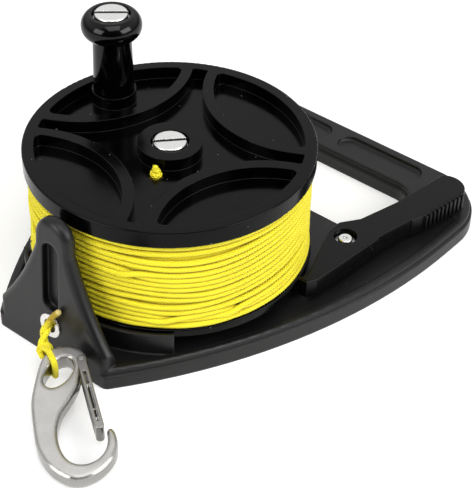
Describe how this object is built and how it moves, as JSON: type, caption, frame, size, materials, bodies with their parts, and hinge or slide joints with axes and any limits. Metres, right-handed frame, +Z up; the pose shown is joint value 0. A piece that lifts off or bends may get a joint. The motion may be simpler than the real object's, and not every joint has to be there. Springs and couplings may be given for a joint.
{
  "type": "dive reel",
  "caption": "Handheld dive reel: flat frame with a hand opening and grip bar, side-wound spool with crank knob, thumb brake, line guide post, wound line and a snap hook.",
  "frame": {"origin": "spool axis where it meets the surface that the frame stands on", "axes": "+X from the line guide post to the grip bar, +Z up along the spool axis, the frame is symmetric about Y = 0"},
  "size_m": [0.227, 0.1536, 0.0959],
  "materials": {
    "frame_plastic": "satin moulded black",
    "spool_plastic": "satin moulded black",
    "knob_plastic": "semi-gloss black",
    "lever_plastic": "satin black",
    "washer_plastic": "smooth white",
    "nickel": "bright nickel",
    "steel": "satin",
    "spring_steel": "drawn wire",
    "snap_steel": "tumbled satin with polished edges",
    "brass": "turned",
    "line_yellow": "braided polymer line"
  },
  "bodies": {
    "reel_frame": {"frame": "frame_plastic", "guide_eyelet": "nickel", "guide_eyelet_washer": "nickel", "axle_bolt": "nickel", "axle_washer": "steel", "axle_bush": "steel", "axle_thrust_washer": "washer_plastic", "axle_insert": "brass", "lever_screw": "nickel", "lever_washer": "steel", "lever_bush": "steel", "lever_insert": "brass", "line_lead": "line_yellow", "line_loop": "line_yellow", "line_tail": "line_yellow", "line_knot": "line_yellow", "snap_body": "snap_steel", "snap_pin": "snap_steel"},
    "spool": {"spool_upper": "spool_plastic", "spool_lower": "spool_plastic", "spool_flange_screws": "steel", "knob_screw": "nickel", "knob_washer": "steel", "knob_bush": "steel", "knob_insert": "brass", "line_core": "line_yellow", "line_winding": "line_yellow", "line_anchor": "line_yellow"},
    "knob": {"knob_sleeve": "knob_plastic", "knob_head": "knob_plastic"},
    "lever": {"brake_lever": "lever_plastic", "lever_spring": "spring_steel"},
    "gate": {"snap_gate": "snap_steel"}
  },
  "joints": [
    {"name": "spool_spin", "type": "hinge", "parent": "reel_frame", "child": "spool", "pos_m": [0, 0, 0.03], "axis": [0, 0, 1], "continuous": true},
    {"name": "knob_spin", "type": "hinge", "parent": "spool", "child": "knob", "pos_m": [0.01234, 0.04036, 0.075], "axis": [0, 0, 1], "continuous": true},
    {"name": "lever_release", "type": "hinge", "parent": "reel_frame", "child": "lever", "pos_m": [0.0441, -0.0518, 0.012], "axis": [0, 0, 1], "range_deg": [0, 8], "stiffness_Nm_per_rad": 0.06, "springref_deg": -45.84},
    {"name": "gate_open", "type": "hinge", "parent": "reel_frame", "child": "gate", "pos_m": [-0.07091, -0.02055, 0.01107], "axis": [0.1195, 0.0966, -0.9881], "range_deg": [0, 14], "stiffness_Nm_per_rad": 0.01, "springref_deg": -28.65}
  ]
}
